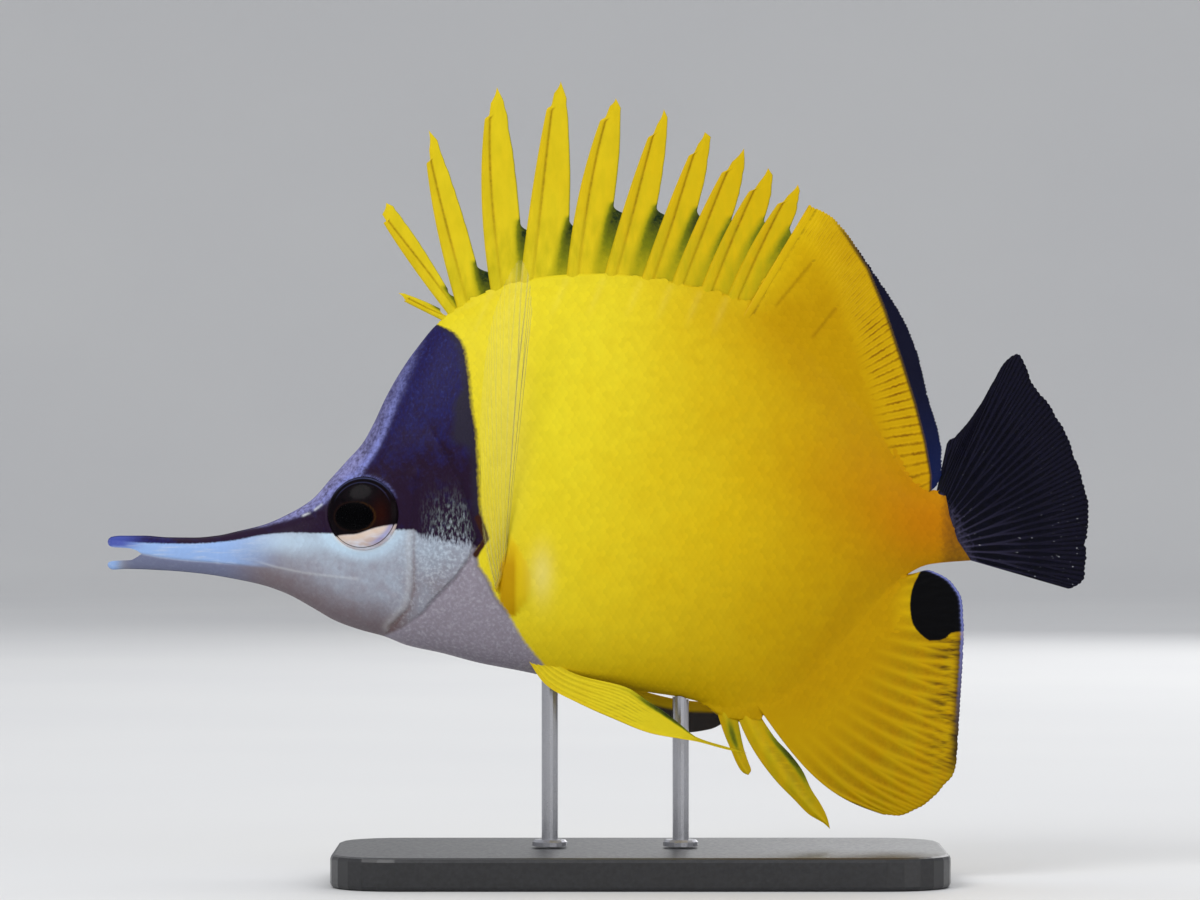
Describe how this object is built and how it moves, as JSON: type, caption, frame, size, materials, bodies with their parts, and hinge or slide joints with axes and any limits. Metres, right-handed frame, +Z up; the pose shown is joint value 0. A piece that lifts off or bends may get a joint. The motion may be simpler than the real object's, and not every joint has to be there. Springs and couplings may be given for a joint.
{
  "type": "longnose butterflyfish model",
  "caption": "Life-size model of a longnose butterflyfish with raised fins and a slightly open snout, held level on a plain flat stand with slim rods.",
  "frame": {"origin": "middle of the stand's underside, on the surface it stands on", "axes": "+X from the snout towards the tail, +Y towards the fish's right side, +Z up"},
  "size_m": [0.1803, 0.058, 0.1466],
  "materials": {
    "skin_yellow": "satin painted scales, lemon yellow",
    "skin_orange": "satin painted scales, orange yellow",
    "skin_dark": "satin, dark purple brown above and silvery below",
    "skin_silver": "pearly silver grey",
    "fin_yellow": "satin yellow fin skin over rays",
    "fin_clear": "thin, clear yellowish fin skin over rays",
    "fin_dusky": "dusky translucent fin skin over rays",
    "eye_dark": "glossy, nearly black",
    "base_black": "satin black",
    "rod_steel": "fine brushed"
  },
  "bodies": {
    "root": {"trunk": "skin_yellow", "tail_stalk": "skin_orange", "head": "skin_dark", "snout": "skin_silver", "upper_jaw": "skin_silver", "lower_jaw": "skin_silver", "gill_cover_left": "skin_silver", "gill_cover_right": "skin_silver", "eye_left": "eye_dark", "eye_right": "eye_dark", "dorsal_spines": "fin_yellow", "dorsal_soft": "fin_yellow", "anal_spines": "fin_yellow", "anal_soft": "fin_yellow", "pelvic_left": "fin_yellow", "pelvic_right": "fin_yellow", "pectoral_left": "fin_clear", "pectoral_right": "fin_clear", "tail_fin": "fin_dusky", "stand_base": "base_black", "stand_rod_front": "rod_steel", "stand_rod_rear": "rod_steel"}
  },
  "joints": []
}
